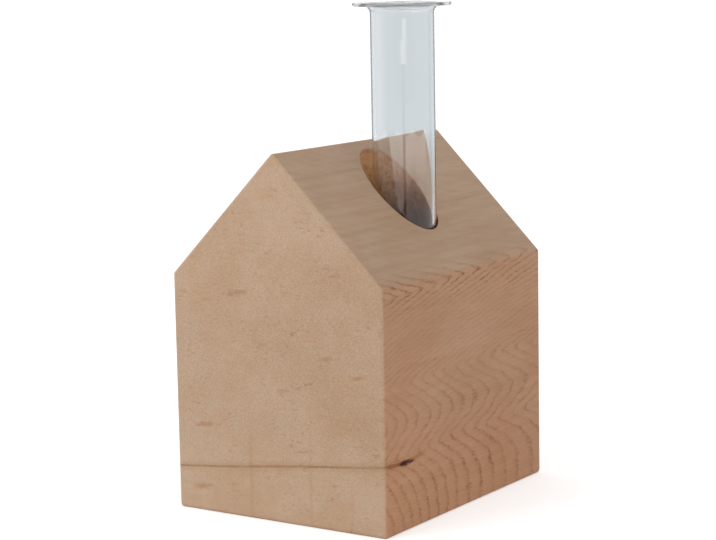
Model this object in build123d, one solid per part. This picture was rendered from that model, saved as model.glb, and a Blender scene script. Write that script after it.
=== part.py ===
from build123d import *
import os
from math import cos, radians, sin, tan

# A bud vase: a solid wooden block cut as a little house, and a flanged glass test tube
# that stands in a blind bore through one roof slope, like a chimney.
# Millimetres. The origin is the centre of the base, +Z is up, +X points to the slope
# with the bore, and the ridge runs along Y.

# House block
BLOCK_WIDTH = 78.0
BLOCK_DEPTH = 95.0
EAVE_HEIGHT = 75.0
ROOF_PITCH = 45.0
EDGE_ROUND = 1.2

# Test tube: a round-bottomed tube whose wall is turned out into a flat flange
TUBE_DIAMETER = 20.0
TUBE_LENGTH = 125.0
TUBE_WALL = 1.2
FLANGE_DIAMETER = 31.0
FLARE_RADIUS = 2.2

# Bore for the tube: loose all round, with the tube standing against one side, which lies
# LEAN_TURN degrees round from straight downhill
BORE_CLEARANCE = 2.0
LEAN_GAP = 0.3
LEAN_TURN = 30.0
SEAT_GAP = 0.2
RIDGE_LAND = 3.0
FLOOR_THICKNESS = 32.0
MOUTH_CHAMFER = 0.5

# Mark that the centre point of the drill leaves in the bore's floor
POINT_MARK_DIAMETER = 2.4
POINT_MARK_DEPTH = 1.2

# Sizes that follow from those above
ridge_height = EAVE_HEIGHT + BLOCK_WIDTH / 2 * tan(radians(ROOF_PITCH))
tube_radius = TUBE_DIAMETER / 2
bore_radius = tube_radius + BORE_CLEARANCE
bore_x = RIDGE_LAND + bore_radius
lean = BORE_CLEARANCE - LEAN_GAP
tube_x = bore_x + lean * cos(radians(LEAN_TURN))
tube_y = lean * sin(radians(LEAN_TURN))
tube_foot = FLOOR_THICKNESS + SEAT_GAP


def gable_prism():
    """The house shape: a pentagon gable drawn on XZ and carried along the ridge."""
    half_width = BLOCK_WIDTH / 2
    gable = Polyline(
        (-half_width, 0),
        (half_width, 0),
        (half_width, EAVE_HEIGHT),
        (0, ridge_height),
        (-half_width, EAVE_HEIGHT),
        close=True,
    )
    prism = extrude(Plane.XZ * make_face(gable), BLOCK_DEPTH / 2, both=True)
    return fillet(prism.edges(), EDGE_ROUND)


def drill():
    """The space that the drill clears: a flat-floored bore and its point mark."""
    reach = ridge_height - FLOOR_THICKNESS
    up = (Align.CENTER, Align.CENTER, Align.MIN)
    down = (Align.CENTER, Align.CENTER, Align.MAX)
    shaft = Cylinder(bore_radius, reach, align=up)
    point = Cone(0, POINT_MARK_DIAMETER / 2, POINT_MARK_DEPTH, align=down)
    return Pos(bore_x, 0, FLOOR_THICKNESS) * (shaft + point)


def house_block():
    """The block with its bore, whose mouth is an ellipse on the roof with its edge taken off."""
    drilled = gable_prism() - drill()
    mouth = drilled.edges().filter_by(GeomType.ELLIPSE).sort_by(SortBy.LENGTH)[-1]
    return chamfer(mouth, MOUTH_CHAMFER)


def test_tube():
    """The tube turned from its half section, which starts at the foot on the axis."""
    inside_radius = tube_radius - TUBE_WALL
    flange_radius = FLANGE_DIAMETER / 2
    flare_x = tube_radius + FLARE_RADIUS
    flare_z = TUBE_LENGTH - TUBE_WALL - FLARE_RADIUS
    flange_under = TUBE_LENGTH - TUBE_WALL
    lip_round = TUBE_WALL / 2
    lip_x = flange_radius - lip_round
    foot = CenterArc((0, tube_radius), tube_radius, 270, 90)
    outer_wall = Line(foot @ 1, (tube_radius, flare_z))
    outer_flare = CenterArc((flare_x, flare_z), FLARE_RADIUS, 180, -90)
    under_side = Line(outer_flare @ 1, (lip_x, flange_under))
    lip = CenterArc((lip_x, flange_under + lip_round), lip_round, 270, 180)
    top_side = Line(lip @ 1, (flare_x, TUBE_LENGTH))
    inner_flare = CenterArc((flare_x, flare_z), FLARE_RADIUS + TUBE_WALL, 90, 90)
    inner_wall = Line(inner_flare @ 1, (inside_radius, tube_radius))
    inner_foot = CenterArc((0, tube_radius), inside_radius, 0, -90)
    axis = Line(inner_foot @ 1, foot @ 0)
    outline = Curve() + [
        foot,
        outer_wall,
        outer_flare,
        under_side,
        lip,
        top_side,
        inner_flare,
        inner_wall,
        inner_foot,
        axis,
    ]
    turned = revolve(Plane.XZ * make_face(outline), Axis.Z)
    return Pos(tube_x, tube_y, tube_foot) * turned


os.makedirs("parts", exist_ok=True)
export_step(house_block(), "parts/house_block.step")
export_step(test_tube(), "parts/test_tube.step")
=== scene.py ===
import math
import random

import bmesh
import bpy
from mathutils import Matrix, Quaternion, Vector


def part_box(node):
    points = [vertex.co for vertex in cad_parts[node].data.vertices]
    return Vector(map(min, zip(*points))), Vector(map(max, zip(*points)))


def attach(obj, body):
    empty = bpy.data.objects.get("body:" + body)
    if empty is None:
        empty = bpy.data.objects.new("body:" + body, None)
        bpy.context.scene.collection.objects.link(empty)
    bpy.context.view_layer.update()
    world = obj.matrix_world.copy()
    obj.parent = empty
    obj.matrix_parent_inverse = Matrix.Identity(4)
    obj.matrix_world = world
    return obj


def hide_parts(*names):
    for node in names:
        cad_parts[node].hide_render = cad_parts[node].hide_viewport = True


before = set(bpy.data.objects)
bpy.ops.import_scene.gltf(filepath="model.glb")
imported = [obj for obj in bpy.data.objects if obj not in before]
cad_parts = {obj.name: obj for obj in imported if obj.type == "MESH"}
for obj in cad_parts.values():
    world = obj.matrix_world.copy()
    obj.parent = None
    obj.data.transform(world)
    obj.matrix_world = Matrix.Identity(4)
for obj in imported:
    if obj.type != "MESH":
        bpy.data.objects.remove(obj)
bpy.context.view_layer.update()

# A bud vase: a sanded softwood block cut as a little house, with a flanged glass test tube in
# its roof. Lengths are metres, and the materials work in millimetres.
MM = 0.001

# House block, as large as its solid, with a roof of 45 degrees, whose normal has ROOF_SLANT on each
# axis. An eave turns by half as much as the other edges, so for the same roundness it is cut back
# by EAVE_SHARE of their depth.
block_low, block_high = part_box("house_block")
WIDTH = block_high.x - block_low.x
DEPTH = block_high.y - block_low.y
EAVE_HEIGHT = 75 * MM
RIDGE_HEIGHT = EAVE_HEIGHT + WIDTH / 2
EDGE_ROUND = 1.2 * MM
EDGE_STEPS = 6
EAVE_SHARE = math.tan(math.radians(22.5))
ROOF_SLANT = math.sqrt(0.5)

# Bore for the tube, with an eased mouth on the right slope and the drill's point mark in its floor
BORE_X = 15 * MM
BORE_RADIUS = 12 * MM
BORE_FLOOR = 32 * MM
BORE_FACETS = 128
MOUTH_EASE = 0.45 * MM
MOUTH_STEPS = 3
POINT_MARK_RADIUS = 1.2 * MM
POINT_MARK_DEPTH = 1.2 * MM

# Test tube, on the axis of its solid
tube_low, tube_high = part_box("test_tube")
TUBE_X = (tube_low.x + tube_high.x) / 2
TUBE_Y = (tube_low.y + tube_high.y) / 2
TUBE_FOOT = tube_low.z
TUBE_LENGTH = tube_high.z - tube_low.z
TUBE_RADIUS = 10 * MM
TUBE_WALL = 1.2 * MM
FLANGE_RADIUS = (tube_high.x - tube_low.x) / 2
FLARE_RADIUS = 2.2 * MM
TUBE_FACETS = 160
FOOT_STEPS = 16
OUTER_FLARE_STEPS = 10
INNER_FLARE_STEPS = 12
LIP_STEPS = 12

# Modelling: places closer than TOUCH are one place, points closer than WELD become one, and the
# edges of the bore's mouth lie between two shares of its radius. Faces that meet at less than
# FLAT_ANGLE are shaded as one, and the largest of them count most.
TOUCH = 0.01 * MM
WELD = 0.001 * MM
MOUTH_SHARES = (0.995, 1.001)
FLAT_ANGLE = math.radians(40)
LARGE_FACE_WEIGHT = 100

# Places on the block in millimetres, for the materials and the drying check, and the stretch along
# the ridge over which a change comes in towards the front
EAVE = EAVE_HEIGHT / MM
RIDGE = RIDGE_HEIGHT / MM
SIDE = WIDTH / 2 / MM
FRONT = -DEPTH / 2 / MM
TOWARDS_FRONT = (-5, -45)

# Drying check, in millimetres: a fine crack that starts on the left wall, crosses the front gable
# and runs round the corner into a dark pit on the right wall. Its width varies between two shares.
CHECK_HEIGHT = 17.7
CHECK_RISE = 0.112
CHECK_FALL = 0.07
CHECK_WAVES = ((0.1, 0.13, 0.6), (0.03, 0.7, 2.1))
CHECK_HALF_WIDTH = 0.26
CHECK_DEPTH = 0.22
CHECK_TIP = 0.15
CHECK_WIDTHS = (0.65, 1.25)
CHECK_CORNERS = 4
CHECK_LEFT_STEPS = 4
CHECK_FRONT_STEPS = 56
CHECK_RIGHT_STEPS = 6
CHECK_SEED = 5
CHECK_LEFT_END = -43.5
CHECK_RIGHT_END = -37.5
PIT_Y = -36.0
PIT_LENGTH = 3.9
PIT_HEIGHT = 0.85
PIT_DEPTH = 1.2
PIT_ROUGHNESS = 0.22
PIT_FACETS = 20
PIT_RINGS = 12
PIT_SEED = 5

# Noise patterns are written as their swing, the length of their patches on each axis in
# millimetres, their detail and their roughness. A pair is where a change starts and ends.

# Faces of the block: how squarely a spot faces along the ridge to be end grain, up to be roof, and
# any one side to be more than an eased edge, and the bore's reach round its axis and under its
# floor, in millimetres
END_GRAIN_FACING = (0.55, 0.9)
ROOF_FACING = (0.3, 0.6)
EDGE_FACING = (0.985, 0.85)
BORE_REACH = (BORE_RADIUS / MM + 0.4, BORE_RADIUS / MM + 0.1)
BORE_BOTTOM = (BORE_FLOOR / MM - 4, BORE_FLOOR / MM - 2)

# Growth rings. The fibre runs along the ridge, and each fold of the wavy wood is its depth under
# the right eave, its change of slope and its roundness.
RING_SPACING = 9.6
RING_STRETCH = 1.12
RING_WIDENING = 0.0036
RING_TILT = 0.106
RING_SLOPE = 1.85
RING_SKEW = 0.12
FOLDS = ((3.6, -9.5, 0.5), (29.4, 9.7, 1.0), (41.6, -8.4, 6.5), (51.0, 7.8, 1.0), (57.5, -3.9, 6.5))
TOP_FOLD_FALL = 0.045
FOOT_LEAN = 14
FOOT_LEAN_DEPTHS = (52, 80)
RING_DRIFT = (3.0, (14, 40, 9), 2, 0.5)
RING_RIPPLE = (0.9, (2.2, 3, 1.6), 1, 0.5)
RING_WANDER = (5.0, (4, 5, 3), 2, 0.5)
RING_FEATHERS = (4.0, (0.5, 7, 0.4), 1, 0.5)
RING_UNEVEN = (0.5, (20, 20, 20), 1, 0.5)

# Late wood: its share of a ring, how patchy and broken it is, how strong it is at every depth, and
# how much more at some, as the start and the end of the change and its strength
LATE_WOOD_START = (0.55, 0.9)
LATE_WOOD_END = (1.0, 0.91)
LATE_WOOD_PATCHES = (2.4, (9, 14, 6), 2, 0.5)
LATE_WOOD_LEVEL = 0.75
LATE_WOOD_LEAST = 0.15
LATE_WOOD_BREAKS = (3.5, (0.7, 1.8, 0.7), 2, 0.5)
LATE_WOOD_WHOLE = 0.85
LATE_WOOD_STRENGTH = 0.2
LATE_WOOD_DEPTHS = ((11, 5, 0.62), (20, 29, 0.2), (46, 56, 0.25))

# Colour of the drying check, in millimetres: its line, which is wider round the corner on the right
# wall and fades about its ends, the stain round it and in a rising tail behind the pit, and the pit
CHECK_RAGGED = (0.35, (1.1, 1.1, 0.5), 2, 0.5)
CHECK_FADING = (1.2, (7, 9, 40), 2, 0.5)
CHECK_STRENGTH = 0.95
CHECK_LINE = (0.55, 0.1)
CHECK_WIDENING = 0.25
CHECK_RIGHT_HALF = (10, 14)
CHECK_CORNER = 2
CHECK_END_PAST = 1
CHECK_END_BEFORE = 2
STAIN_HEIGHT = (2.4, 0.3)
STAIN_ON_WALL = 0.8
STAIN_IN_TAIL = 3.4
TAIL_RISE = 0.16
TAIL_HEIGHT = (1.1, 0.2)
TAIL_START = (-1, 2)
TAIL_END = (13, 5)
PIT_TORN = (2.0, (1.2, 1.7, 0.6), 2, 0.5)
PIT_OUTLINE = (1.2, 0.6)
PIT_END = (6, 5)

# Short brown marks in the end grain of the front gable, in millimetres: place across, height, and
# half of the length and height
MARKS = (
    (-14.5, 70.5, 4.2, 1.1),
    (6.2, 59.2, 1.1, 0.8),
    (18.6, 52.8, 2.3, 0.9),
    (29.2, 48.0, 2.6, 0.8),
    (1.5, 41.2, 3.0, 0.9),
    (-27.5, 28.0, 4.6, 1.0),
    (10.0, 23.4, 4.0, 0.6),
    (-29.0, 8.0, 4.2, 1.1),
)
MARK_OUTLINE = (1.3, 0.0)
MARK_RAGGED = (1, (2.2, 20, 0.9), 2, 0.5)
MARK_RAGGEDNESS = 2.4
MARK_FRONT = (0, -10)

# Small brown flecks, which lie in patches of the end grain
FLECKS = (1, (2.0, 30, 0.8), 2, 0.5)
FLECK_EDGE = (0.06, 0.22)
FLECK_PATCHES = (1, (11, 40, 8), 1, 0.5)
FLECK_PATCH_EDGE = (-0.1, 0.2)
FLECK_STRENGTH = 0.85

# Faint upright scratches low on the front gable, in millimetres: place across and height of the top
SCRATCHES = ((-10.4, 40), (12.0, 46), (27.0, 22))
SCRATCH_WIDTH = (0.9, 0.1)
SCRATCH_FADE = 24
SCRATCH_RAGGEDNESS = 1.2
SCRATCH_STRENGTH = 0.3

# Wall of the bore: painted shade darkens it between two heights, and by a share between two depths
# under the roof. Torn patches and the drill's scores deepen it, and its rim is duller between two
# depths.
BORE_PAINTED_SHADE_HEIGHTS = (110, 86)
BORE_PAINTED_SHADE_DEPTHS = (4, 15)
BORE_PAINTED_SHADE_SHARE = 0.5
BORE_SCORES = (1, (1, 1, 0.8), 2, 0.5)
BORE_TEARS = (1, (1.3, 1.3, 1.7), 3, 0.7)
BORE_DEEP_LEVEL = 0.22
TEAR_SHARE = 4.0
SCORE_SHARE = 1.2
BORE_RIM = (1.1, 0.2)
RIM_RAGGEDNESS = 2
RIM_STRENGTH = 0.8

# Patterns of the sanded timber
FIBRE = (1, (0.35, 9, 0.35), 3, 0.65)
BANDS = (1, (2.4, 45, 2.4), 3, 0.5)
SPECKLES = (1, (0.7, 3, 0.5), 3, 0.7)
MOTTLE = (1, (4.5, 20, 3.4), 2, 0.5)
CLOUDS = (1, (19, 34, 15), 2, 0.5)
WARMTH = (1, (26, 30, 21), 2, 0.5)
STREAKS = (1, (1.3, 38, 1.3), 2, 0.5)
STREAK_EDGE = (0.08, 0.3)

# Warm and cool timber: how far the warmth swings, and how much of the mottle it has
WARMTH_SWING = 2.6
WARMTH_MIDDLE = 0.5
WARM_MOTTLE = 0.25
GABLE_WARM_MOTTLE = 0.55

# Places where the timber differs, in millimetres: the walls are ruddier low down, and ruddier and
# deeper at the front, the gables are paler at the foot with painted light bounced up from the floor,
# paler at the top and deeper to the right, and the roof is more like the wall just over its eave
RUDDY_FOOT = (38, 6)
RUDDY_FOOT_BACK = (75, 0)
RUDDY_FRONT = (75, 35)
RUDDY_FRONT_SHARE = 0.5
PAINTED_BOUNCE_FOOT = (34, 4)
PAINTED_BOUNCE_FOOT_SHARE = 0.2
PALE_TOP = (62, 96)
PALE_TOP_SHARE = 0.1
DEEP_RIGHT = (-5, 30)
DEEP_RIGHT_SHARE = 0.06
DEEP_FRONT = (10, -45)
DEEP_FRONT_SHARE = 0.05
OVER_EAVE = 4
EAVE_TONE_SHARE = 0.35
EAVE_RING_SHARE = 0.6

# How deep the timber's tone is, how much less at its eased edges, which are lighter partly from wear
# and partly with a painted highlight, and how much each pattern deepens it all over, on the gables, on
# the flanks, which are the walls and the roof, and on the roof alone
DEEP_LEVEL = 0.19
EDGE_WEAR_AND_HIGHLIGHT = 0.15
CLOUD_SHARE = 0.22
GABLE_MOTTLE = 0.3
GABLE_SPECKLES = 1.35
GABLE_RINGS = 0.05
GABLE_MARKS = 0.1
FLANK_FIBRE = 0.5
FLANK_BANDS = 0.28
FLANK_SPECKLES = 0.35
FLANK_RINGS = 0.06
ROOF_LESS_FIBRE = 0.2
ROOF_LESS_SPECKLES = 0.2
ROOF_BANDS = 0.3
ROOF_STREAKS = 0.16

# How strong the tints of the timber are, and its relief and roughness
RING_STRENGTH = 1.1
PLAIN_RING_LOSS = 1.04
MARK_STRENGTH = 0.6
STAIN_STRENGTH = 0.35
LINE_STRENGTH = 0.7
FIBRE_RELIEF = 0.8
SPECKLE_RELIEF = 0.7
SCORE_RELIEF = 0.8
TIMBER_RELIEF = 0.35
TIMBER_RELIEF_DEPTH = 0.12 * MM
TIMBER_ROUGHNESS = 0.68
CLOUD_ROUGHNESS = 0.2
FIBRE_ROUGHNESS = 0.15
RING_POLISH = 0.1
TIMBER_SPECULAR = 0.25

# Glass: painted shade makes it darker where its wall is seen edge on, a painted paleness at its
# fire-polished lip, where a share of it lets light straight through, comes in over LIP_FADE under the
# flange, in millimetres, and fine lines from drawing run up it. A ray may bounce or pass through a
# surface GLASS_BOUNCES times.
GLASS_IOR = 1.47
GLASS_PAINTED_EDGE_FACING = (0.45, 0.85)
LIP_FADE = 0.3
LIP_PAINTED_PALENESS = 0.15
DRAW_LINES = (1, (0.9, 0.9, 80), 1, 0.5)
DRAW_RELIEF = 0.3
DRAW_RELIEF_DEPTH = 0.02 * MM
GLASS_BOUNCES = 48

# Camera at the photograph's angle, for a picture of 716 by 540. Lens and sensor are in millimetres.
CAMERA_PLACE = Vector((367.7, -552.3, 172.3)) * MM
CAMERA_AIM = Vector((-1.15, 0, 71.94)) * MM
CAMERA_ROLL = math.radians(-1.07)
CAMERA_LENS = 105.3
CAMERA_SENSOR = 36
CAMERA_CLIP = 0.01

# Light level: the sky lights the object, and the key lamp adds to the front gable
SKY_LEVEL = 0.76
KEY_POWER = 4.8
KEY_SIZE = 0.7
KEY_PLACE = Vector((-0.55, -1.1, 0.75))
KEY_AIM = Vector((0, 0, 0.06))

# Floor: its own shade, and how far it is lifted where it is seen. Through the glass it has a dim
# band round the object, which comes in and goes out between these distances in millimetres.
FLOOR_SIZE = 40
FLOOR_SHADE = 0.9
FLOOR_LIFT = 0.42
BAND_START = (680, 900)
BAND_END = (1500, 700)

# Cards round the tube, which are seen in gloss alone: name, degrees to the right of the camera,
# distance, width, lower and upper edge in millimetres, and colour in the middle and at the sides.
# They give the tube a short warm highlight with a dark line below it, a dim front, a bright left
# side and dark edges.
CARDS = (
    ("low_highlight_card", 2, 390, 208, 118, 130, (3.8, 3.5, 2.7), (1.4, 1.35, 1.2)),
    ("high_highlight_card", 6, 390, 137, 130, 140.5, (4.2, 3.9, 3.0), (1.4, 1.35, 1.2)),
    ("dark_line_card", 1, 390, 66, 44, 118, (0, 0, 0), (0, 0, 0)),
    ("dim_panel", 5, 400, 1000, 97, 200, (0.7, 0.7, 0.7), (1.15, 1.15, 1.15)),
    ("bright_panel", -100, 400, 700, 0, 200, (2.5, 2.5, 2.5), (1.3, 1.3, 1.3)),
    ("left_edge_card", -157, 400, 200, 0, 250, (0, 0, 0), (0, 0, 0)),
    ("right_edge_card", 157, 400, 200, 0, 250, (0, 0, 0), (0, 0, 0)),
)

# Cards that make the front of the tube hazy over the roof: their bearings and their one size, as
# above, and their colour at the upper edge, which fades to white at the lower
HAZE_BEARINGS = (-99, -47, 5, 57)
HAZE_SIZE = (396, 386, 48, 82)
HAZE_TONE = (3.6, 3.6, 3.7, 1)

# On a card of one unit: how far from its middle its edge is, and where its colour starts to fade
CARD_EDGE = 0.5
CARD_MIDDLE = 0.05


def tone(red, green, blue):
    """A colour given as screen values from 0 to 255, in Blender's linear numbers."""
    def linear(value):
        share = value / 255
        return share / 12.92 if share < 0.04045 else ((share + 0.055) / 1.055) ** 2.4

    return linear(red), linear(green), linear(blue), 1


# Tones of the timber, and the tints that its tones are multiplied by
WALL_TONE = tone(197, 155, 124)
ROOF_TONE = tone(190, 160, 134)
GABLE_TONE = tone(192, 162, 135)
BORE_TONE = tone(214, 158, 108)
# The tone of the painted shade deep in the bore
BORE_PAINTED_SHADE_TONE = tone(112, 56, 26)
BORE_RIM_TONE = tone(176, 134, 100)
CHECK_TONE = tone(146, 110, 80)
CHECK_WALL_TONE = tone(136, 82, 50)
PIT_TONE = tone(104, 60, 48)
ROSY_TINT = (0.965, 0.925, 0.885, 1)
PALE_TINT = (1.035, 1.075, 1.115, 1)
DEEP_TINT = (0.55, 0.455, 0.36, 1)
RING_TINT = (0.62, 0.46, 0.34, 1)
RUDDY_TINT = (1.04, 0.925, 0.82, 1)
TORN_TINT = (0.62, 0.5, 0.36, 1)
STAIN_TINT = (0.8, 0.68, 0.46, 1)
MARK_TINT = (0.8, 0.64, 0.45, 1)

# Tints of the glass, and what it shows of the floor and the sky behind it
GLASS_TINT = (0.97, 0.98, 0.985, 1)
# Painted shade where the glass is seen edge on
GLASS_PAINTED_EDGE_TINT = (0.68, 0.71, 0.74, 1)
THIN_GLASS_TINT = (0.93, 0.94, 0.95, 1)
GLASS_BACKDROP = (0.65, 0.685, 0.705, 1)
BAND_BACKDROP = (0.43, 0.39, 0.35, 1)
WHITE = (1, 1, 1, 1)


class Wire:
    """A socket that works in sums: each operator adds a Math node to its finish."""

    def __init__(self, finish, socket):
        self.finish = finish
        self.socket = socket

    def maths(self, operation, *values):
        inputs = dict(enumerate(values))
        return self.finish.node("ShaderNodeMath", {"operation": operation}, inputs)

    def __add__(self, other):
        return self.maths("ADD", self, other)

    def __sub__(self, other):
        return self.maths("SUBTRACT", self, other)

    def __rsub__(self, other):
        return self.maths("SUBTRACT", other, self)

    def __mul__(self, other):
        return self.maths("MULTIPLY", self, other)

    def __truediv__(self, other):
        return self.maths("DIVIDE", self, other)

    def __abs__(self):
        return self.maths("ABSOLUTE", self)

    __radd__ = __add__
    __rmul__ = __mul__

    def root(self):
        return self.maths("SQRT", self)

    def sine(self):
        return self.maths("SINE", self)

    def fraction(self):
        return self.maths("FRACT", self)

    def at_least(self, other):
        return self.maths("MAXIMUM", self, other)

    def step(self, low, high):
        """0 below low, 1 above high, and a smooth rise between them.

        It falls where low is the higher of the two.
        """
        settings = {"interpolation_type": "SMOOTHSTEP"}
        inputs = {"Value": self, "From Min": low, "From Max": high}
        return self.finish.node("ShaderNodeMapRange", settings, inputs)


class Finish:
    """A node tree of a material or a world, with one method that adds any node."""

    def __init__(self, owner):
        owner.use_nodes = True
        self.tree = owner.node_tree
        self.tree.nodes.clear()

    def node(self, kind, settings=None, inputs=None, output=0):
        made = self.tree.nodes.new(kind)
        for name, value in (settings or {}).items():
            setattr(made, name, value)
        for name, value in (inputs or {}).items():
            socket = made.inputs[name]
            if isinstance(value, Wire):
                self.tree.links.new(value.socket, socket)
            else:
                socket.default_value = value
        return Wire(self, made.outputs[output]) if len(made.outputs) else None

    def own_place(self):
        """Object coordinates in the object's own units."""
        return self.node("ShaderNodeTexCoord", {}, {}, "Object")

    def place(self):
        """Object coordinates in millimetres."""
        return self.scaled(self.own_place(), (1 / MM, 1 / MM, 1 / MM))

    def axis(self, vector, name):
        return self.node("ShaderNodeSeparateXYZ", {}, {"Vector": vector}, name)

    def axes(self, vector):
        return [self.axis(vector, name) for name in "XYZ"]

    def vector(self, x, y, z):
        return self.node("ShaderNodeCombineXYZ", {}, {"X": x, "Y": y, "Z": z})

    def scaled(self, vector, scale):
        return self.node("ShaderNodeMapping", {}, {"Vector": vector, "Scale": scale})

    def noise(self, vector, swing, patches, detail, rough):
        """Noise about zero, from minus half its swing to half, in patches of a length on each axis."""
        spot = self.scaled(vector, [1 / length for length in patches])
        inputs = {"Vector": spot, "Scale": 1.0, "Detail": detail, "Roughness": rough}
        return (self.node("ShaderNodeTexNoise", {}, inputs) - 0.5) * swing

    def mix(self, share, first, second, blend="MIX"):
        settings = {"data_type": "RGBA", "blend_type": blend}
        inputs = {"Factor": share, 6: first, 7: second}
        return self.node("ShaderNodeMix", settings, inputs, 2)

    def bump(self, height, strength, depth):
        """A normal from a height of 0 to 1 that stands for the given depth."""
        inputs = {"Strength": strength, "Distance": depth, "Height": height}
        return self.node("ShaderNodeBump", {}, inputs)

    def glow(self, colour, strength=1.0):
        return self.node("ShaderNodeEmission", {}, {"Color": colour, "Strength": strength})

    def blend(self, share, first, second):
        """A shader between two others."""
        return self.node("ShaderNodeMixShader", {}, {0: share, 1: first, 2: second})

    def ray(self, kind):
        return self.node("ShaderNodeLightPath", {}, {}, kind)

    def seen(self):
        """1 on rays from the camera and on those that a reflection or glass sends on, else 0."""
        direct = self.ray("Is Camera Ray").at_least(self.ray("Is Glossy Ray"))
        return direct.at_least(self.ray("Is Transmission Ray"))

    def show(self, shader):
        self.node("ShaderNodeOutputMaterial", {}, {"Surface": shader})


def new_material(name):
    material = bpy.data.materials.new(name)
    return material, Finish(material)


def off_centre(x, y):
    """Distance of a place from the origin, for wires."""
    return (x * x + y * y).root()


# Modelling by hand

def deselect():
    bpy.ops.object.select_all(action="DESELECT")


def take_up(piece):
    """Makes a piece the only one that operators act on."""
    deselect()
    piece.select_set(True)
    bpy.context.view_layer.objects.active = piece


def middle(part):
    """The middle of a vertex, an edge or a face."""
    if isinstance(part, bmesh.types.BMVert):
        return part.co
    return sum((vert.co for vert in part.verts), Vector()) / len(part.verts)


def pick(piece, kind, test):
    """In edit mode, selects the VERT, EDGE or FACE parts whose middle passes a test."""
    bpy.ops.mesh.select_mode(type=kind)
    bpy.ops.mesh.select_all(action="DESELECT")
    shape = bmesh.from_edit_mesh(piece.data)
    parts = {"VERT": shape.verts, "EDGE": shape.edges, "FACE": shape.faces}[kind]
    for part in parts:
        part.select_set(test(middle(part)))
    shape.select_flush_mode()
    bmesh.update_edit_mesh(piece.data)


def apply_modifier(piece, kind, **settings):
    take_up(piece)
    modifier = piece.modifiers.new(kind.lower(), kind)
    for name, value in settings.items():
        setattr(modifier, name, value)
    bpy.ops.object.modifier_apply(modifier=modifier.name)


def cut(piece, cutter):
    apply_modifier(piece, "BOOLEAN", operation="DIFFERENCE", object=cutter, solver="EXACT")
    bpy.data.objects.remove(cutter)


def near(value, target):
    return abs(value - target) < TOUCH


def raise_roof(block):
    """Cuts the box along its middle, lifts the ridge, and takes the cut off the flat faces again."""
    bpy.ops.mesh.select_all(action="SELECT")
    bpy.ops.mesh.bisect(plane_co=(0, 0, 0), plane_no=(1, 0, 0))
    pick(block, "VERT", lambda spot: near(spot.x, 0) and near(spot.z, EAVE_HEIGHT))
    bpy.ops.transform.translate(value=(0, 0, RIDGE_HEIGHT - EAVE_HEIGHT))

    pick(block, "EDGE", lambda spot: near(spot.x, 0) and not near(spot.z, RIDGE_HEIGHT))
    bpy.ops.mesh.dissolve_edges()


def ease_edges(block):
    """Rounds every arris by about the same radius: an eave is blunter, so it is cut back less."""
    bpy.ops.mesh.select_all(action="SELECT")
    bpy.ops.transform.edge_bevelweight(value=1)
    pick(block, "EDGE", lambda spot: near(spot.z, EAVE_HEIGHT) and near(spot.y, 0))
    bpy.ops.transform.edge_bevelweight(value=EAVE_SHARE - 1)
    bpy.ops.object.mode_set(mode="OBJECT")
    apply_modifier(block, "BEVEL", width=EDGE_ROUND, segments=EDGE_STEPS, limit_method="WEIGHT")


def drill():
    """The drill's shape: a flat-ended cylinder with a small centre point."""
    deselect()
    height = RIDGE_HEIGHT - BORE_FLOOR
    bpy.ops.mesh.primitive_cylinder_add(
        vertices=BORE_FACETS,
        radius=BORE_RADIUS,
        depth=height,
        location=(BORE_X, 0, BORE_FLOOR + height / 2),
    )
    cutter = bpy.context.object
    bpy.ops.object.transform_apply()
    bpy.ops.object.mode_set(mode="EDIT")
    pick(cutter, "FACE", lambda spot: near(spot.z, BORE_FLOOR))
    bpy.ops.mesh.inset(thickness=BORE_RADIUS - POINT_MARK_RADIUS)
    bpy.ops.mesh.merge(type="CENTER")
    bpy.ops.transform.translate(value=(0, 0, -POINT_MARK_DEPTH))
    bpy.ops.object.mode_set(mode="OBJECT")
    return cutter


def ease_mouth(block):
    """Takes the sharp edge off the bore's mouth, which is an ellipse on the right slope."""
    least, most = [BORE_RADIUS * share for share in MOUTH_SHARES]

    def on_mouth(spot):
        reach = math.hypot(spot.x - BORE_X, spot.y)
        return least < reach < most and near(spot.x + spot.z, RIDGE_HEIGHT)

    take_up(block)
    bpy.ops.object.mode_set(mode="EDIT")
    pick(block, "EDGE", on_mouth)
    bpy.ops.mesh.bevel(offset=MOUTH_EASE, segments=MOUTH_STEPS, affect="EDGES")
    bpy.ops.object.mode_set(mode="OBJECT")


def check_height(x, y, sine):
    """Height of the drying check at a place, in millimetres, for numbers or for wires."""
    height = CHECK_HEIGHT + CHECK_RISE * x - CHECK_FALL * (y - FRONT)
    for size, pitch, start in CHECK_WAVES:
        height = height + size * sine(pitch * x + start)
    return height


def on_check(x, y):
    """The spot of the drying check at a place in metres."""
    return Vector((x, y, check_height(x / MM, y / MM, math.sin) * MM))


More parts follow.
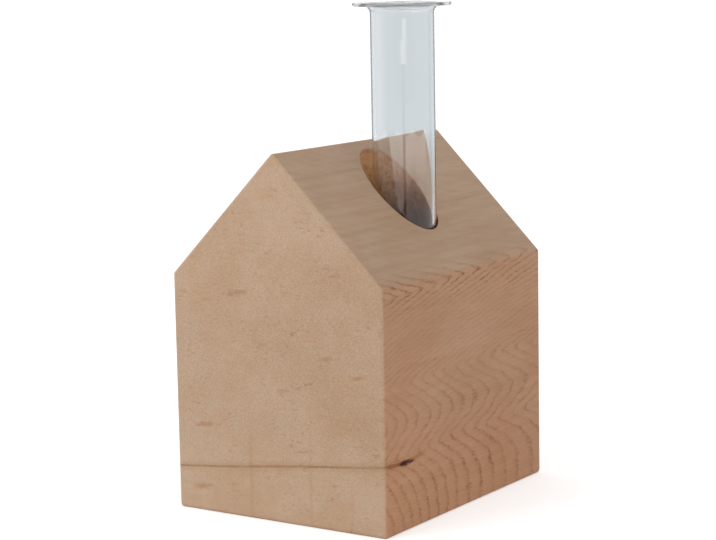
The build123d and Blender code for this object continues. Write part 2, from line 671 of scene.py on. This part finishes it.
def check_cutter():
    """A fine wedge drawn along the check, with its width as uneven as a crack's."""
    uneven = random.Random(CHECK_SEED)
    side = WIDTH / 2
    front = -DEPTH / 2
    deselect()
    place = on_check(-side, CHECK_LEFT_END * MM)
    share = CHECK_TIP
    bpy.ops.mesh.primitive_circle_add(
        vertices=CHECK_CORNERS,
        radius=1,
        fill_type="NGON",
        location=place,
        rotation=(math.pi / 2, 0, 0),
        scale=(CHECK_DEPTH * MM * share, CHECK_HALF_WIDTH * MM * share, 1),
    )
    cutter = bpy.context.object
    bpy.ops.object.transform_apply()
    bpy.ops.object.mode_set(mode="EDIT")
    bpy.ops.mesh.select_mode(type="FACE")
    bpy.ops.mesh.select_all(action="SELECT")

    def carry(start, end, widths):
        """Extrudes the wedge from start to end, in a step for each of its widths."""
        nonlocal place, share
        for step, width in enumerate(widths, 1):
            spot = start.lerp(end, step / len(widths))
            target = on_check(spot.x, spot.y)
            bpy.ops.mesh.extrude_region_move(TRANSFORM_OT_translate={"value": target - place})
            bpy.ops.transform.resize(value=[width / share] * 3, center_override=target)
            place = target
            share = width

    def turn(centre):
        """Takes the wedge round a corner of the block."""
        nonlocal place
        bpy.ops.mesh.spin(steps=EDGE_STEPS, angle=-math.pi / 2, center=centre, axis=(0, 0, 1))
        arm = place - centre
        place = centre + Vector((-arm.y, arm.x, arm.z))

    def opening(steps):
        return [CHECK_TIP + (1 - CHECK_TIP) * step / steps for step in range(1, steps + 1)]

    def cracked(steps):
        return [uneven.uniform(*CHECK_WIDTHS) for step in range(steps)]

    left = Vector((-side + EDGE_ROUND, front + EDGE_ROUND, 0))
    right = Vector((side - EDGE_ROUND, front + EDGE_ROUND, 0))
    right_end = Vector((side, CHECK_RIGHT_END * MM, 0))
    carry(place, Vector((-side, left.y, 0)), opening(CHECK_LEFT_STEPS))
    turn(left)
    carry(Vector((left.x, front, 0)), Vector((right.x, front, 0)), cracked(CHECK_FRONT_STEPS))
    turn(right)
    carry(Vector((side, right.y, 0)), right_end, cracked(CHECK_RIGHT_STEPS))
    bpy.ops.mesh.select_all(action="SELECT")
    bpy.ops.mesh.normals_make_consistent(inside=False)
    bpy.ops.object.mode_set(mode="OBJECT")
    return cutter


def pit_cutter():
    """A ragged hollow where the check ends on the right wall."""
    deselect()
    bpy.ops.mesh.primitive_uv_sphere_add(
        segments=PIT_FACETS,
        ring_count=PIT_RINGS,
        radius=MM,
        location=on_check(WIDTH / 2, PIT_Y * MM),
        scale=(PIT_DEPTH, PIT_LENGTH, PIT_HEIGHT),
    )
    cutter = bpy.context.object
    bpy.ops.object.transform_apply()
    bpy.ops.object.mode_set(mode="EDIT")
    bpy.ops.mesh.select_all(action="SELECT")
    bpy.ops.transform.vertex_random(offset=PIT_ROUGHNESS * MM, normal=1, seed=PIT_SEED)
    bpy.ops.object.mode_set(mode="OBJECT")
    return cutter


def house_block():
    """The block: a box with its ridge raised, its edges eased, and its bore, check and pit cut."""
    deselect()
    bpy.ops.mesh.primitive_cube_add(
        size=1,
        location=(0, 0, EAVE_HEIGHT / 2),
        scale=(WIDTH, DEPTH, EAVE_HEIGHT),
    )
    block = bpy.context.object
    block.name = "sanded_block"
    bpy.ops.object.transform_apply()
    bpy.ops.object.mode_set(mode="EDIT")
    raise_roof(block)
    ease_edges(block)
    cut(block, drill())
    ease_mouth(block)
    cut(block, check_cutter())
    cut(block, pit_cutter())
    take_up(block)
    bpy.ops.object.shade_smooth_by_angle(angle=FLAT_ANGLE)
    apply_modifier(block, "WEIGHTED_NORMAL", keep_sharp=True, weight=LARGE_FACE_WEIGHT)
    return block


def arc(centre, radius, start, turn, steps):
    """Points of an arc as (distance from the axis, height), with angles in degrees."""
    angles = [math.radians(start + turn * step / steps) for step in range(steps + 1)]
    return [(centre[0] + radius * math.cos(a), centre[1] + radius * math.sin(a)) for a in angles]


def tube_section():
    """Half section of the tube, from the foot up the outside, over the lip and down the inside."""
    flare = (TUBE_RADIUS + FLARE_RADIUS, TUBE_LENGTH - TUBE_WALL - FLARE_RADIUS)
    lip = (FLANGE_RADIUS - TUBE_WALL / 2, TUBE_LENGTH - TUBE_WALL / 2)
    foot = (0, TUBE_RADIUS)
    section = arc(foot, TUBE_RADIUS, 270, 90, FOOT_STEPS)
    section += arc(flare, FLARE_RADIUS, 180, -90, OUTER_FLARE_STEPS)
    section += arc(lip, TUBE_WALL / 2, 270, 180, LIP_STEPS)
    section += arc(flare, FLARE_RADIUS + TUBE_WALL, 90, 90, INNER_FLARE_STEPS)
    section += arc(foot, TUBE_RADIUS - TUBE_WALL, 0, -90, FOOT_STEPS)
    return section


def test_tube():
    """The tube drawn as a half section and spun about its axis."""
    section = tube_section()
    deselect()
    bpy.ops.mesh.primitive_plane_add(size=MM, location=(TUBE_X, TUBE_Y, TUBE_FOOT))
    tube = bpy.context.object
    tube.name = "glass_tube"
    bpy.ops.object.transform_apply()
    bpy.ops.object.mode_set(mode="EDIT")
    bpy.ops.mesh.select_mode(type="VERT")
    bpy.ops.mesh.select_all(action="SELECT")
    bpy.ops.mesh.merge(type="CENTER")
    for last, point in zip(section, section[1:]):
        move = (point[0] - last[0], 0, point[1] - last[1])
        bpy.ops.mesh.extrude_region_move(TRANSFORM_OT_translate={"value": move})
    bpy.ops.mesh.select_all(action="SELECT")
    bpy.ops.mesh.spin(steps=TUBE_FACETS, angle=math.tau, center=(TUBE_X, TUBE_Y, 0), axis=(0, 0, 1))
    bpy.ops.mesh.select_all(action="SELECT")
    bpy.ops.mesh.remove_doubles(threshold=WELD)
    bpy.ops.mesh.normals_make_consistent(inside=False)
    bpy.ops.object.mode_set(mode="OBJECT")
    bpy.ops.object.shade_smooth()
    apply_modifier(tube, "WEIGHTED_NORMAL", weight=LARGE_FACE_WEIGHT)
    return tube


# Finishes

class BlockFaces:
    """How far a spot of the block is end grain, roof, eased edge or bore, each from 0 to 1.

    How far it is sunk is its depth straight down under the right slope, in millimetres.
    """

    def __init__(self, wood, spot):
        normal = wood.node("ShaderNodeTexCoord", {}, {}, "Normal")
        side, along, up = wood.axes(normal)
        across = abs(side)
        gable = abs(along)
        slope = (across + up) * ROOF_SLANT
        flat = across.at_least(gable).at_least(slope).at_least(0 - up)
        x, y, z = wood.axes(spot)
        self.gable = gable.step(*END_GRAIN_FACING)
        self.roof = up.step(*ROOF_FACING)
        self.edge = flat.step(*EDGE_FACING)
        self.bore = off_centre(x - BORE_X / MM, y).step(*BORE_REACH) * z.step(*BORE_BOTTOM)
        self.sunk = RIDGE - x - z


def growth_rings(wood, spot):
    """How strong the dark late wood of the rings is, and the place across each ring."""
    x, y, z = wood.axes(spot)
    drift = wood.noise(spot, *RING_DRIFT) + wood.noise(spot, *RING_RIPPLE)
    depth = EAVE - z + RING_TILT * (x - SIDE) + drift
    lean = depth * RING_SLOPE
    for index, (fold, change, roundness) in enumerate(FOLDS):
        below = depth - fold
        if index == 0:
            below = below + TOP_FOLD_FALL * (y - FRONT)
        lean = lean + (change / 2) * (below * below + roundness ** 2).root()
    lean = lean + depth.step(*FOOT_LEAN_DEPTHS) * y.step(*TOWARDS_FRONT) * FOOT_LEAN
    stretched = y * RING_STRETCH - y * y * RING_WIDENING
    wander = wood.noise(spot, *RING_WANDER)
    feathers = wood.noise(spot, *RING_FEATHERS)
    run = stretched - lean + RING_SKEW * (x - SIDE) + wander + feathers
    uneven = wood.noise(wood.vector(run, 0, 0), *RING_UNEVEN)
    place = (run / RING_SPACING + uneven).fraction()
    late = place.step(*LATE_WOOD_START) * place.step(*LATE_WOOD_END)
    patchy = (wood.noise(spot, *LATE_WOOD_PATCHES) + LATE_WOOD_LEVEL).at_least(LATE_WOOD_LEAST)
    broken = (wood.noise(spot, *LATE_WOOD_BREAKS) + LATE_WOOD_WHOLE).at_least(0)
    strength = LATE_WOOD_STRENGTH
    for start, end, more in LATE_WOOD_DEPTHS:
        strength = strength + depth.step(start, end) * more
    return late * patchy * broken * strength, place


def check_marks(wood, spot):
    """The brown line of the drying check and its colour, the stain round it and its dark pit."""
    x, y, z = wood.axes(spot)
    off_line = z - check_height(x, y, Wire.sine) + wood.noise(spot, *CHECK_RAGGED)
    gap = abs(off_line)
    right = x.step(*CHECK_RIGHT_HALF)
    to_left_end = y.step(CHECK_LEFT_END + CHECK_END_PAST, CHECK_LEFT_END - CHECK_END_BEFORE)
    to_pit = y.step(PIT_Y + CHECK_END_PAST, PIT_Y - CHECK_END_BEFORE)
    reach = to_pit * right + to_left_end * (1 - right)
    on_wall = right * y.step(FRONT, FRONT + CHECK_CORNER)
    faded = wood.noise(spot, *CHECK_FADING) + CHECK_STRENGTH
    line = (gap - on_wall * CHECK_WIDENING).step(*CHECK_LINE) * reach * faded
    behind = y - PIT_Y
    tail = abs(off_line - behind * TAIL_RISE).step(*TAIL_HEIGHT)
    tail = tail * behind.step(*TAIL_START) * behind.step(*TAIL_END) * right
    stain = gap.step(*STAIN_HEIGHT) * reach * (1 + on_wall * STAIN_ON_WALL) + tail * STAIN_IN_TAIL
    torn = wood.noise(spot, *PIT_TORN)
    pit = (off_centre(behind / PIT_LENGTH, off_line / PIT_HEIGHT) + torn).step(*PIT_OUTLINE)
    pit = pit * right * behind.step(*PIT_END)
    return line, wood.mix(on_wall, CHECK_TONE, CHECK_WALL_TONE), stain, pit


def end_grain_marks(wood, spot):
    """Brown dashes in the end grain: a few large ones on the front gable, and flecks in patches."""
    x, y, z = wood.axes(spot)
    ragged = wood.noise(spot, *MARK_RAGGED)
    patches = wood.noise(spot, *FLECK_PATCHES).step(*FLECK_PATCH_EDGE)
    marks = wood.noise(spot, *FLECKS).step(*FLECK_EDGE) * patches * FLECK_STRENGTH
    front = y.step(*MARK_FRONT)
    for place, height, length, thickness in MARKS:
        along = (x - place) / length
        over = (z - height - (x - place) * RING_TILT) / thickness
        mark = (off_centre(along, over) + ragged * MARK_RAGGEDNESS).step(*MARK_OUTLINE)
        marks = marks.at_least(mark * front)
    for place, top in SCRATCHES:
        scratch = abs(x - place + ragged * SCRATCH_RAGGEDNESS).step(*SCRATCH_WIDTH)
        scratch = scratch * z.step(top, top - SCRATCH_FADE) * front
        marks = marks.at_least(scratch * SCRATCH_STRENGTH)
    return marks


def bore_wall(wood, spot, sunk):
    """Colour and scores of the drilled wall: torn, darker with painted shade deeper down, and dull at
    its rim.
    """
    z = wood.axis(spot, "Z")
    scores = wood.noise(wood.vector(0, 0, z), *BORE_SCORES)
    tears = wood.noise(spot, *BORE_TEARS)
    # Painted shade: the wall turns to a dark tone lower down and deeper under the roof
    shade = z.step(*BORE_PAINTED_SHADE_HEIGHTS).at_least(sunk.step(*BORE_PAINTED_SHADE_DEPTHS) * BORE_PAINTED_SHADE_SHARE)
    colour = wood.mix(shade, BORE_TONE, BORE_PAINTED_SHADE_TONE)
    deepened = BORE_DEEP_LEVEL + tears * TEAR_SHARE + scores * SCORE_SHARE
    colour = wood.mix(deepened, colour, TORN_TINT, "MULTIPLY")
    rim = (sunk + tears * RIM_RAGGEDNESS).step(*BORE_RIM) * RIM_STRENGTH
    return wood.mix(rim, colour, BORE_RIM_TONE), scores


def timber():
    """Sanded softwood: rings on the sides, mottled end grain on the gables, fibre along the ridge."""
    material, wood = new_material("sanded_softwood")
    spot = wood.place()
    x, y, z = wood.axes(spot)
    faces = BlockFaces(wood, spot)
    flank = 1 - faces.gable
    wall = flank - faces.roof
    rings, ring_place = growth_rings(wood, spot)
    marks = end_grain_marks(wood, spot)
    line, line_tone, stain, pit = check_marks(wood, spot)
    bored, scores = bore_wall(wood, spot, faces.sunk)
    fibre = wood.noise(spot, *FIBRE)
    bands = wood.noise(spot, *BANDS)
    speckles = wood.noise(spot, *SPECKLES)
    mottle = wood.noise(spot, *MOTTLE)
    clouds = wood.noise(spot, *CLOUDS)
    streaks = wood.noise(spot, *STREAKS).step(*STREAK_EDGE)
    over_eave = z.step(EAVE + OVER_EAVE, EAVE)

    # Tone of each face, with its warmth
    colour = wood.mix(faces.roof * (1 - over_eave * EAVE_TONE_SHARE), WALL_TONE, ROOF_TONE)
    colour = wood.mix(faces.gable, colour, GABLE_TONE)
    colour = wood.mix(faces.bore, colour, bored)
    warmth = wood.noise(spot, *WARMTH) + mottle * (WARM_MOTTLE + faces.gable * GABLE_WARM_MOTTLE)
    tint = wood.mix(warmth * WARMTH_SWING + WARMTH_MIDDLE, ROSY_TINT, PALE_TINT)
    colour = wood.mix(1.0, colour, tint, "MULTIPLY")
    ruddy_front = y.step(*TOWARDS_FRONT) * z.step(*RUDDY_FRONT) * RUDDY_FRONT_SHARE
    ruddy = (z.step(*RUDDY_FOOT) * y.step(*RUDDY_FOOT_BACK) + ruddy_front) * wall
    colour = wood.mix(ruddy, colour, RUDDY_TINT, "MULTIPLY")

    # How deep the tone is
    # The gables' foot is lighter with painted bounce light from the floor; their top is paler and
    # their right deeper
    painted_bounce_and_pale = z.step(*PAINTED_BOUNCE_FOOT) * PAINTED_BOUNCE_FOOT_SHARE + z.step(*PALE_TOP) * PALE_TOP_SHARE
    painted_bounce_and_pale = painted_bounce_and_pale - x.step(*DEEP_RIGHT) * DEEP_RIGHT_SHARE
    on_gable = mottle * GABLE_MOTTLE + speckles * GABLE_SPECKLES + rings * GABLE_RINGS
    on_gable = on_gable + marks * GABLE_MARKS - painted_bounce_and_pale
    on_flank = fibre * (FLANK_FIBRE - faces.roof * ROOF_LESS_FIBRE) + bands * FLANK_BANDS
    on_flank = on_flank + speckles * (FLANK_SPECKLES - faces.roof * ROOF_LESS_SPECKLES)
    on_flank = on_flank + ring_place * FLANK_RINGS + y.step(*DEEP_FRONT) * wall * DEEP_FRONT_SHARE
    on_roof = bands * ROOF_BANDS + streaks * ROOF_STREAKS
    deep = DEEP_LEVEL + clouds * CLOUD_SHARE + faces.gable * on_gable + flank * on_flank
    # Eased edges are lighter, partly from wear and partly as a painted highlight
    deep = deep + faces.roof * on_roof - faces.edge * EDGE_WEAR_AND_HIGHLIGHT
    colour = wood.mix(deep, colour, DEEP_TINT, "MULTIPLY")

    # Rings, marks and the drying check
    plain = (faces.roof * (1 - over_eave * EAVE_RING_SHARE)).at_least(faces.bore)
    ringed = rings * flank * (RING_STRENGTH - plain * PLAIN_RING_LOSS)
    colour = wood.mix(ringed, colour, RING_TINT, "MULTIPLY")
    colour = wood.mix(marks * faces.gable * MARK_STRENGTH, colour, MARK_TINT, "MULTIPLY")
    colour = wood.mix(stain * STAIN_STRENGTH, colour, STAIN_TINT, "MULTIPLY")
    colour = wood.mix(line * LINE_STRENGTH, colour, line_tone)
    colour = wood.mix(pit, colour, PIT_TONE)

    # Relief and roughness
    relief = fibre * flank * FIBRE_RELIEF + speckles * SPECKLE_RELIEF
    relief = relief + scores * faces.bore * SCORE_RELIEF
    roughness = TIMBER_ROUGHNESS + clouds * CLOUD_ROUGHNESS + fibre * FIBRE_ROUGHNESS
    roughness = roughness - rings * flank * RING_POLISH
    shader = wood.node(
        "ShaderNodeBsdfPrincipled",
        {},
        {
            "Base Color": colour,
            "Roughness": roughness,
            "Specular IOR Level": TIMBER_SPECULAR,
            "Normal": wood.bump(relief, TIMBER_RELIEF, TIMBER_RELIEF_DEPTH),
        },
    )
    wood.show(shader)
    return material


def clear_glass():
    """Glass with painted shade where its wall is seen edge on, and a painted paleness at its
    fire-polished lip.

    It lets lamplight through to the timber.
    """
    material, glass = new_material("clear_glass")
    spot = glass.place()
    under_flange = (TUBE_FOOT + TUBE_LENGTH - TUBE_WALL) / MM
    lip = glass.axis(spot, "Z").step(under_flange - LIP_FADE, under_flange)
    drawn = glass.bump(glass.noise(spot, *DRAW_LINES), DRAW_RELIEF, DRAW_RELIEF_DEPTH)
    clear, dark = [
        glass.node(
            "ShaderNodeBsdfPrincipled",
            {},
            {
                "Base Color": tint,
                "Roughness": 0.0,
                "IOR": GLASS_IOR,
                "Transmission Weight": 1.0,
                "Normal": drawn,
            },
        )
        for tint in (GLASS_TINT, GLASS_PAINTED_EDGE_TINT)
    ]
    # Painted shade: a darker glass where the wall is seen edge on, though not at the lip
    edge_on = glass.node("ShaderNodeLayerWeight", {}, {}, "Facing").step(*GLASS_PAINTED_EDGE_FACING)
    solid = glass.blend(edge_on * (1 - lip), clear, dark)
    thin = glass.node("ShaderNodeBsdfTransparent", {}, {"Color": THIN_GLASS_TINT})
    lamplight = glass.ray("Is Shadow Ray").at_least(glass.ray("Is Diffuse Ray"))
    # Lamplight passes straight through, and so does a share of the lip, as a painted paleness
    glass.show(glass.blend(lamplight.at_least(lip * LIP_PAINTED_PALENESS), solid, thin))
    return material


# Studio

def studio_floor():
    """A pale floor that keeps shadows, lifted to white where it is seen, and grey behind the glass."""
    deselect()
    bpy.ops.mesh.primitive_plane_add(size=FLOOR_SIZE)
    floor = bpy.context.object
    floor.name = "studio_floor"
    material, paper = new_material("white_paper")
    shade = (FLOOR_SHADE, FLOOR_SHADE, FLOOR_SHADE, 1)
    matt = paper.node("ShaderNodeBsdfDiffuse", {}, {"Color": shade})
    lift = paper.glow(WHITE, paper.seen() * FLOOR_LIFT)
    lifted = paper.node("ShaderNodeAddShader", {}, {0: matt, 1: lift})
    spot = paper.place()
    reach = off_centre(paper.axis(spot, "X"), paper.axis(spot, "Y"))
    band = reach.step(*BAND_START) * reach.step(*BAND_END)
    grey = paper.glow(paper.mix(band, GLASS_BACKDROP, BAND_BACKDROP))
    paper.show(paper.blend(paper.ray("Is Transmission Ray"), lifted, grey))
    floor.data.materials.append(material)


def studio_sky():
    """White to the camera and in reflections, and a pale grey behind the glass."""
    world = bpy.data.worlds.new("studio_sky")
    bpy.context.scene.world = world
    sky = Finish(world)
    lamp, white, grey = [
        sky.node("ShaderNodeBackground", {}, {"Color": colour, "Strength": strength})
        for colour, strength in ((WHITE, SKY_LEVEL), (WHITE, 1.0), (GLASS_BACKDROP, 1.0))
    ]
    seen = sky.blend(sky.seen(), lamp, white)
    both = sky.blend(sky.ray("Is Transmission Ray"), seen, grey)
    sky.node("ShaderNodeOutputWorld", {}, {"Surface": both})


def key_lamp():
    """A broad soft lamp in front, to the left."""
    lamp = bpy.data.lights.new("key_lamp", "AREA")
    lamp.shape = "RECTANGLE"
    lamp.size = KEY_SIZE
    lamp.size_y = KEY_SIZE
    lamp.energy = KEY_POWER
    stand = bpy.data.objects.new("key_lamp", lamp)
    stand.location = KEY_PLACE
    stand.rotation_euler = (KEY_AIM - KEY_PLACE).to_track_quat("-Z", "Y").to_euler()
    bpy.context.collection.objects.link(stand)


def hang_card(name, bearing, distance, width, low, high):
    """Hangs an upright card that faces the tube and is seen in gloss alone, and gives its paint."""
    foot = Vector((TUBE_X, TUBE_Y, 0))
    towards = CAMERA_PLACE - foot
    towards.z = 0
    towards.normalize()
    towards.rotate(Quaternion((0, 0, 1), math.radians(bearing)))
    deselect()
    bpy.ops.mesh.primitive_plane_add(size=1)
    card = bpy.context.object
    card.name = name
    card.scale = (width * MM, (high - low) * MM, 1)
    card.rotation_euler = towards.to_track_quat("Z", "Y").to_euler()
    card.location = foot + towards * distance * MM + Vector((0, 0, (low + high) / 2 * MM))
    material, paint = new_material(name)
    card.data.materials.append(material)
    card.visible_camera = False
    card.visible_diffuse = False
    card.visible_transmission = False
    card.visible_shadow = False
    return paint


def reflection_card(name, bearing, distance, width, low, high, middle_colour, side_colour):
    """A card that fades from its middle to its sides."""
    paint = hang_card(name, bearing, distance, width, low, high)
    fade = abs(paint.axis(paint.own_place(), "X")).step(CARD_MIDDLE, CARD_EDGE)
    paint.show(paint.glow(paint.mix(fade, (*middle_colour, 1), (*side_colour, 1))))


def haze_card(name, bearing):
    """A card that fades downwards."""
    paint = hang_card(name, bearing, *HAZE_SIZE)
    rise = paint.axis(paint.own_place(), "Y").step(-CARD_EDGE, CARD_EDGE)
    paint.show(paint.glow(paint.mix(rise, WHITE, HAZE_TONE)))


def photo_camera():
    """A camera at the photograph's angle."""
    lens = bpy.data.cameras.new("photo_camera")
    lens.sensor_width = CAMERA_SENSOR
    lens.lens = CAMERA_LENS
    lens.clip_start = CAMERA_CLIP
    camera = bpy.data.objects.new("photo_camera", lens)
    look = (CAMERA_AIM - CAMERA_PLACE).to_track_quat("-Z", "Y")
    roll = Quaternion((0, 0, 1), CAMERA_ROLL)
    camera.matrix_world = Matrix.Translation(CAMERA_PLACE) @ (look @ roll).to_matrix().to_4x4()
    bpy.context.collection.objects.link(camera)
    bpy.context.scene.camera = camera


def dress(piece, material, body, node):
    """Gives a piece its finish, and its place in the frame."""
    piece.data.materials.append(material)
    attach(piece, body)
    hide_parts(node)


dress(house_block(), timber(), "block", "house_block")
dress(test_tube(), clear_glass(), "tube", "test_tube")
studio_floor()
studio_sky()
key_lamp()
for card in CARDS:
    reflection_card(*card)
for number, bearing in enumerate(HAZE_BEARINGS):
    haze_card("haze_card_%d" % number, bearing)
photo_camera()
bpy.context.scene.view_settings.view_transform = "Standard"
paths = bpy.context.scene.cycles
paths.max_bounces = GLASS_BOUNCES
paths.glossy_bounces = GLASS_BOUNCES
paths.transmission_bounces = GLASS_BOUNCES
